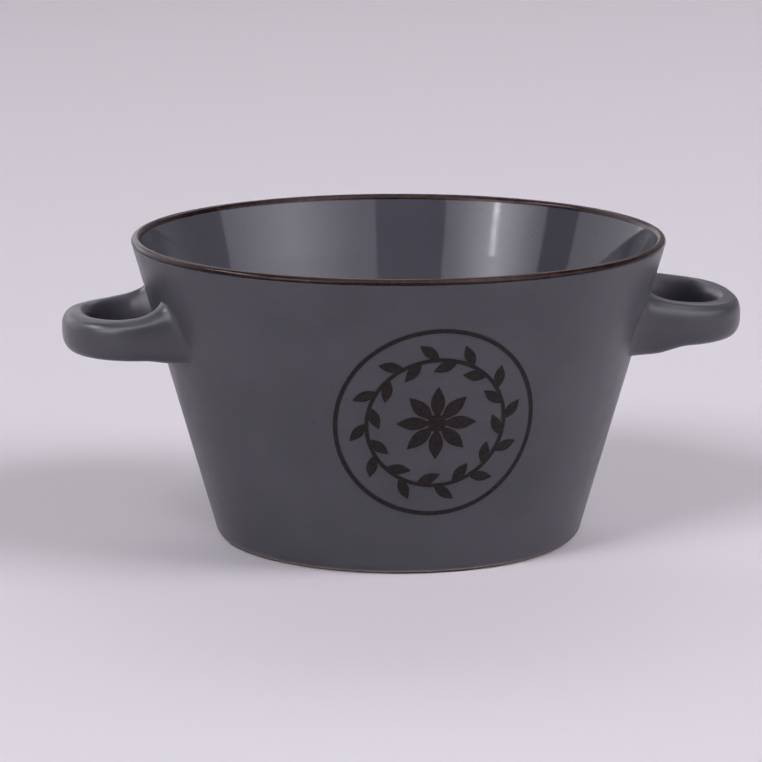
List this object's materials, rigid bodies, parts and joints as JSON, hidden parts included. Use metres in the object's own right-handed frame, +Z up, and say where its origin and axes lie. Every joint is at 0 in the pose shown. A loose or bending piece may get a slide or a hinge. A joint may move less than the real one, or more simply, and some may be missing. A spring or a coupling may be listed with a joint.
{
  "type": "handled soup bowl",
  "caption": "Stoneware soup bowl with straight flared walls, ear handles at the sides, a brown lip band, grey glazes and a leaf badge on the front.",
  "frame": {"origin": "on the bowl's axis, in the plane it stands on", "axes": "+X towards the right handle, -Y towards the badge, +Z up through the open mouth"},
  "size_m": [0.1795, 0.14, 0.08],
  "materials": {
    "bare_stoneware": "bare fired clay, matt and slightly gritty",
    "gloss_grey_glaze": "glossy warm grey glaze",
    "satin_grey_glaze": "satin dark grey glaze",
    "base_grey_glaze": "satin dark grey glaze",
    "brown_lip_glaze": "glossy dark brown glaze",
    "handle_grey_glaze": "satin dark grey glaze with soft highlights",
    "glazed_slip": "satin dark grey glaze over smoothed slip",
    "brown_ink": "fired dark brown print, low sheen"
  },
  "bodies": {
    "root": {"bowl_body": "bare_stoneware", "inner_glaze": "gloss_grey_glaze", "outer_glaze": "satin_grey_glaze", "base_glaze": "base_grey_glaze", "rim_band": "brown_lip_glaze", "left_handle": "handle_grey_glaze", "right_handle": "handle_grey_glaze", "left_front_slip_fillet": "glazed_slip", "left_rear_slip_fillet": "glazed_slip", "right_front_slip_fillet": "glazed_slip", "right_rear_slip_fillet": "glazed_slip", "print_border_ring": "brown_ink", "print_wreath": "brown_ink", "print_rosette": "brown_ink"}
  },
  "joints": []
}
